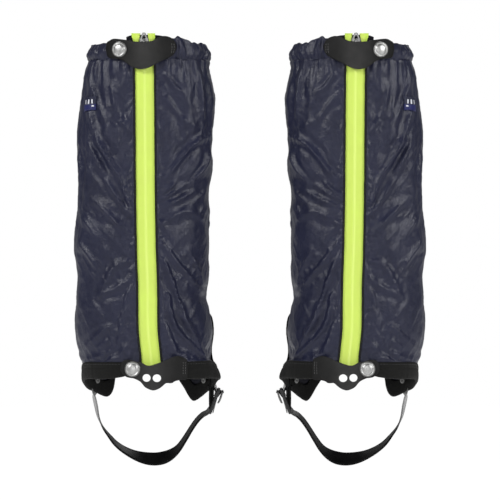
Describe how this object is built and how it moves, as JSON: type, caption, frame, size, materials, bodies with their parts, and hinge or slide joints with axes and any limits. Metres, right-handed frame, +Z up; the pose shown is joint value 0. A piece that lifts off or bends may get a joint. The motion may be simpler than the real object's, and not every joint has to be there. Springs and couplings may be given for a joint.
{
  "type": "gaiters",
  "caption": "Pair of tall front-zip gaiters with gathered top hem, snap tabs, lace-hook tab, bound lower hem and buckled under-foot strap.",
  "frame": {"origin": "on the left gaiter's leg axis, level with the front of its lower hem", "axes": "+Z up along the leg, +X from the left gaiter to the right one, -Y to the front, where the zips are"},
  "size_m": [0.41, 0.135, 0.5095],
  "materials": {
    "navy_nylon": "coated nylon, crinkled, semi-matt",
    "black_binding": "black woven binding, matt",
    "elastic_band": "ribbed elastic, matt",
    "neon_tape": "neon yellow-green woven zip tape",
    "neon_coil": "moulded nylon coil",
    "nickel": "nickel-plated, polished",
    "black_pu": "black PU-coated fabric, fine grain",
    "strap_pu": "black PU strap, semi-gloss",
    "woven_label": "woven satin label"
  },
  "bodies": {
    "left_gaiter": {"left_shell_outer_panel": "navy_nylon", "left_shell_inner_panel": "navy_nylon", "left_top_hem_casing": "navy_nylon", "left_top_elastic": "elastic_band", "left_bottom_hem_band": "black_binding", "left_zip_tape_l": "neon_tape", "left_zip_tape_r": "neon_tape", "left_zip_coil_l": "neon_coil", "left_zip_coil_r": "neon_coil", "left_top_tab_backing": "black_binding", "left_top_snap_stud": "nickel", "left_bottom_snap_stud": "nickel", "left_strap_end": "strap_pu", "left_buckle_strap": "strap_pu", "left_strap_rivet": "nickel", "left_buckle_strap_rivet": "nickel", "left_strap_tail": "strap_pu", "left_strap_keeper": "strap_pu", "left_label": "woven_label"},
    "left_zip_slider": {"left_zip_slider": "nickel"},
    "left_zip_pull": {"left_zip_pull": "nickel"},
    "left_top_flap": {"left_top_tab": "black_pu", "left_top_snap_cap": "nickel", "left_top_snap_socket": "nickel"},
    "left_bottom_flap": {"left_bottom_tab": "black_pu", "left_bottom_snap_cap": "nickel", "left_bottom_snap_socket": "nickel"},
    "left_under_strap": {"left_foot_strap": "strap_pu", "left_buckle_frame": "nickel"},
    "left_prong": {"left_buckle_prong": "nickel"},
    "right_gaiter": {"right_shell_outer_panel": "navy_nylon", "right_shell_inner_panel": "navy_nylon", "right_top_hem_casing": "navy_nylon", "right_top_elastic": "elastic_band", "right_bottom_hem_band": "black_binding", "right_zip_tape_l": "neon_tape", "right_zip_tape_r": "neon_tape", "right_zip_coil_l": "neon_coil", "right_zip_coil_r": "neon_coil", "right_top_tab_backing": "black_binding", "right_top_snap_stud": "nickel", "right_bottom_snap_stud": "nickel", "right_strap_end": "strap_pu", "right_buckle_strap": "strap_pu", "right_strap_rivet": "nickel", "right_buckle_strap_rivet": "nickel", "right_strap_tail": "strap_pu", "right_strap_keeper": "strap_pu", "right_label": "woven_label"},
    "right_zip_slider": {"right_zip_slider": "nickel"},
    "right_zip_pull": {"right_zip_pull": "nickel"},
    "right_top_flap": {"right_top_tab": "black_pu", "right_top_snap_cap": "nickel", "right_top_snap_socket": "nickel"},
    "right_bottom_flap": {"right_bottom_tab": "black_pu", "right_bottom_snap_cap": "nickel", "right_bottom_snap_socket": "nickel"},
    "right_under_strap": {"right_foot_strap": "strap_pu", "right_buckle_frame": "nickel"},
    "right_prong": {"right_buckle_prong": "nickel"}
  },
  "joints": [
    {"name": "left_zip_slide", "type": "slide", "parent": "left_gaiter", "child": "left_zip_slider", "axis": [0.0165, -0.0303, -0.9994], "range_m": [0, 0.37]},
    {"name": "left_pull_flip", "type": "hinge", "parent": "left_zip_slider", "child": "left_zip_pull", "pos_m": [-0.00171, -0.05116, 0.3941], "axis": [1, 0, 0], "range_deg": [0, 90]},
    {"name": "left_top_tab_open", "type": "hinge", "parent": "left_gaiter", "child": "left_top_flap", "pos_m": [0.03638, -0.05171, 0.38635], "axis": [0, 0, 1], "range_deg": [0, 120]},
    {"name": "left_bottom_tab_open", "type": "hinge", "parent": "left_gaiter", "child": "left_bottom_flap", "pos_m": [0.04908, -0.05928, 0.00839], "axis": [0, 0, 1], "range_deg": [0, 120]},
    {"name": "left_strap_swing", "type": "hinge", "parent": "left_gaiter", "child": "left_under_strap", "pos_m": [0.006, 0.032, -0.018], "axis": [1, 0, 0], "range_deg": [-20, 20]},
    {"name": "left_prong_lift", "type": "hinge", "parent": "left_under_strap", "child": "left_prong", "pos_m": [0.08389, 0.032, -0.02022], "axis": [0, -1, 0], "range_deg": [0, 95]},
    {"name": "right_gaiter_apart", "type": "slide", "parent": "left_gaiter", "child": "right_gaiter", "axis": [1, 0, 0], "range_m": [0, 0.3]},
    {"name": "right_zip_slide", "type": "slide", "parent": "right_gaiter", "child": "right_zip_slider", "axis": [-0.0165, -0.0303, -0.9994], "range_m": [0, 0.37]},
    {"name": "right_pull_flip", "type": "hinge", "parent": "right_zip_slider", "child": "right_zip_pull", "pos_m": [0.24715, -0.05116, 0.3941], "axis": [1, 0, 0], "range_deg": [0, 90]},
    {"name": "right_top_tab_open", "type": "hinge", "parent": "right_gaiter", "child": "right_top_flap", "pos_m": [0.20906, -0.05171, 0.38635], "axis": [0, 0, -1], "range_deg": [0, 120]},
    {"name": "right_bottom_tab_open", "type": "hinge", "parent": "right_gaiter", "child": "right_bottom_flap", "pos_m": [0.19636, -0.05928, 0.00839], "axis": [0, 0, -1], "range_deg": [0, 120]},
    {"name": "right_strap_swing", "type": "hinge", "parent": "right_gaiter", "child": "right_under_strap", "pos_m": [0.23944, 0.032, -0.018], "axis": [1, 0, 0], "range_deg": [-20, 20]},
    {"name": "right_prong_lift", "type": "hinge", "parent": "right_under_strap", "child": "right_prong", "pos_m": [0.16155, 0.032, -0.02022], "axis": [0, 1, 0], "range_deg": [0, 95]}
  ]
}
